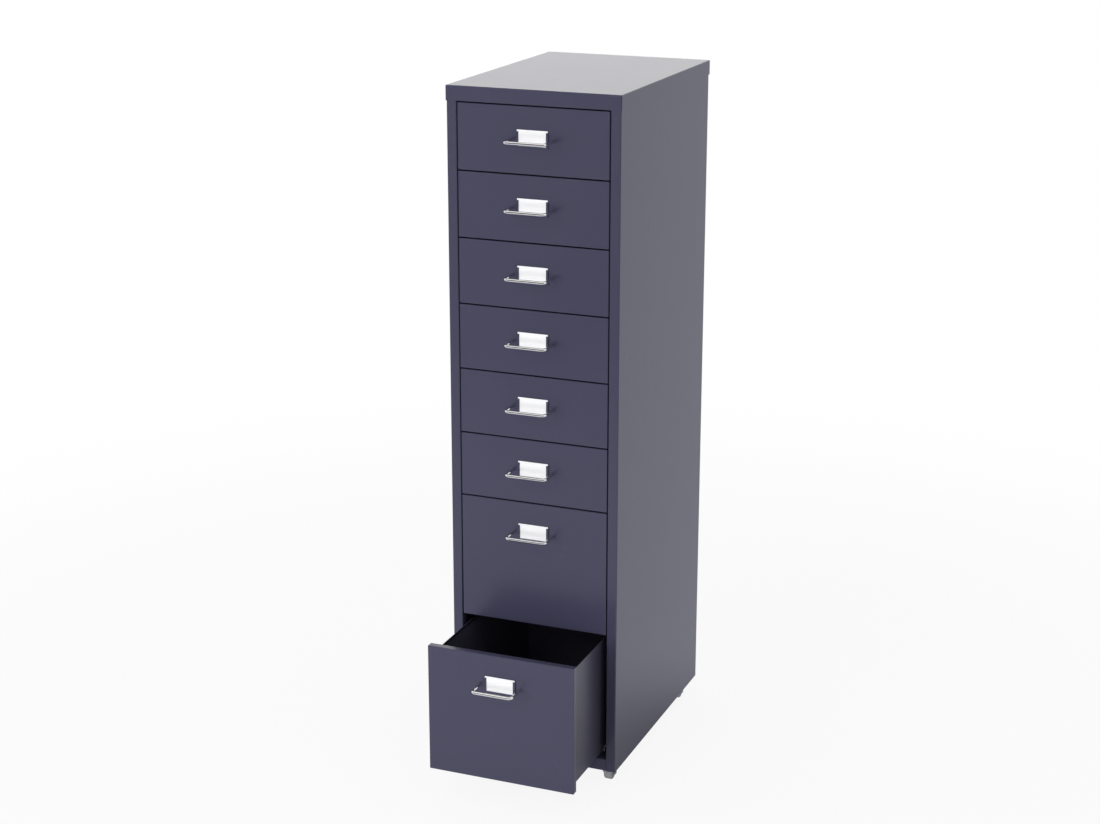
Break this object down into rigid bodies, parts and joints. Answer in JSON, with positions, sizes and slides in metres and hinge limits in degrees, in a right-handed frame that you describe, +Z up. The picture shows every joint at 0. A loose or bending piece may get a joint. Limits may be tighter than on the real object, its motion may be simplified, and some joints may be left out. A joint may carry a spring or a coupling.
{
  "type": "metal drawer cabinet",
  "caption": "Tall narrow sheet-steel cabinet with shallow drawers above deep ones, wire pulls, label holders and small casters.",
  "frame": {"origin": "on the floor, under the middle of the whole footprint as stored, with the lowest drawer part open", "axes": "+Z up; -Y out of the front, the way the drawers open; +X to the right of someone facing the front"},
  "size_m": [0.2804, 0.5806, 1.102],
  "materials": {
    "body_paint": "satin powder coat",
    "front_paint": "satin powder coat",
    "tray_paint": "satin powder coat",
    "nickel": "polished nickel plate",
    "zinc": "bright zinc plate",
    "wheel_plastic": "satin nylon",
    "card": "smooth white card"
  },
  "bodies": {
    "cabinet": {"left_side": "body_paint", "right_side": "body_paint", "back_panel": "body_paint", "top_cap": "body_paint", "base_pan": "body_paint", "left_runners": "zinc", "right_runners": "zinc", "caster_plates": "zinc", "caster_kingpins": "zinc", "caster_screws": "zinc"},
    "drawer_1": {"drawer_1_front": "front_paint", "drawer_1_tray": "tray_paint", "drawer_1_pull": "nickel", "drawer_1_label_holder": "body_paint", "drawer_1_label_card": "card"},
    "drawer_2": {"drawer_2_front": "front_paint", "drawer_2_tray": "tray_paint", "drawer_2_pull": "nickel", "drawer_2_label_holder": "body_paint", "drawer_2_label_card": "card"},
    "drawer_3": {"drawer_3_front": "front_paint", "drawer_3_tray": "tray_paint", "drawer_3_pull": "nickel", "drawer_3_label_holder": "body_paint", "drawer_3_label_card": "card"},
    "drawer_4": {"drawer_4_front": "front_paint", "drawer_4_tray": "tray_paint", "drawer_4_pull": "nickel", "drawer_4_label_holder": "body_paint", "drawer_4_label_card": "card"},
    "drawer_5": {"drawer_5_front": "front_paint", "drawer_5_tray": "tray_paint", "drawer_5_pull": "nickel", "drawer_5_label_holder": "body_paint", "drawer_5_label_card": "card"},
    "drawer_6": {"drawer_6_front": "front_paint", "drawer_6_tray": "tray_paint", "drawer_6_pull": "nickel", "drawer_6_label_holder": "body_paint", "drawer_6_label_card": "card"},
    "drawer_7": {"drawer_7_front": "front_paint", "drawer_7_tray": "tray_paint", "drawer_7_pull": "nickel", "drawer_7_label_holder": "body_paint", "drawer_7_label_card": "card"},
    "drawer_8": {"drawer_8_front": "front_paint", "drawer_8_tray": "tray_paint", "drawer_8_pull": "nickel", "drawer_8_label_holder": "body_paint", "drawer_8_label_card": "card"},
    "front_left_fork": {"front_left_fork": "zinc"},
    "front_left_wheel": {"front_left_wheel": "wheel_plastic"},
    "front_right_fork": {"front_right_fork": "zinc"},
    "front_right_wheel": {"front_right_wheel": "wheel_plastic"},
    "rear_left_fork": {"rear_left_fork": "zinc"},
    "rear_left_wheel": {"rear_left_wheel": "wheel_plastic"},
    "rear_right_fork": {"rear_right_fork": "zinc"},
    "rear_right_wheel": {"rear_right_wheel": "wheel_plastic"}
  },
  "joints": [
    {"name": "drawer_1_slide", "type": "slide", "parent": "cabinet", "child": "drawer_1", "axis": [0, -1, 0], "range_m": [0, 0.28]},
    {"name": "drawer_2_slide", "type": "slide", "parent": "cabinet", "child": "drawer_2", "axis": [0, -1, 0], "range_m": [0, 0.28]},
    {"name": "drawer_3_slide", "type": "slide", "parent": "cabinet", "child": "drawer_3", "axis": [0, -1, 0], "range_m": [0, 0.28]},
    {"name": "drawer_4_slide", "type": "slide", "parent": "cabinet", "child": "drawer_4", "axis": [0, -1, 0], "range_m": [0, 0.28]},
    {"name": "drawer_5_slide", "type": "slide", "parent": "cabinet", "child": "drawer_5", "axis": [0, -1, 0], "range_m": [0, 0.28]},
    {"name": "drawer_6_slide", "type": "slide", "parent": "cabinet", "child": "drawer_6", "axis": [0, -1, 0], "range_m": [0, 0.28]},
    {"name": "drawer_7_slide", "type": "slide", "parent": "cabinet", "child": "drawer_7", "axis": [0, -1, 0], "range_m": [0, 0.28]},
    {"name": "drawer_8_slide", "type": "slide", "parent": "cabinet", "child": "drawer_8", "axis": [0, -1, 0], "range_m": [-0.135, 0.145]},
    {"name": "front_left_swivel", "type": "hinge", "parent": "cabinet", "child": "front_left_fork", "pos_m": [-0.1205, -0.08185, 0.042], "axis": [0, 0, 1], "continuous": true},
    {"name": "front_left_roll", "type": "hinge", "parent": "front_left_fork", "child": "front_left_wheel", "pos_m": [-0.1205, -0.09185, 0.012], "axis": [1, 0, 0], "continuous": true},
    {"name": "front_right_swivel", "type": "hinge", "parent": "cabinet", "child": "front_right_fork", "pos_m": [0.1205, -0.08185, 0.042], "axis": [0, 0, 1], "continuous": true},
    {"name": "front_right_roll", "type": "hinge", "parent": "front_right_fork", "child": "front_right_wheel", "pos_m": [0.1205, -0.09185, 0.012], "axis": [1, 0, 0], "continuous": true},
    {"name": "rear_left_swivel", "type": "hinge", "parent": "cabinet", "child": "rear_left_fork", "pos_m": [-0.1205, 0.25215, 0.042], "axis": [0, 0, 1], "continuous": true},
    {"name": "rear_left_roll", "type": "hinge", "parent": "rear_left_fork", "child": "rear_left_wheel", "pos_m": [-0.1205, 0.24215, 0.012], "axis": [1, 0, 0], "continuous": true},
    {"name": "rear_right_swivel", "type": "hinge", "parent": "cabinet", "child": "rear_right_fork", "pos_m": [0.1205, 0.25215, 0.042], "axis": [0, 0, 1], "continuous": true},
    {"name": "rear_right_roll", "type": "hinge", "parent": "rear_right_fork", "child": "rear_right_wheel", "pos_m": [0.1205, 0.24215, 0.012], "axis": [1, 0, 0], "continuous": true}
  ]
}
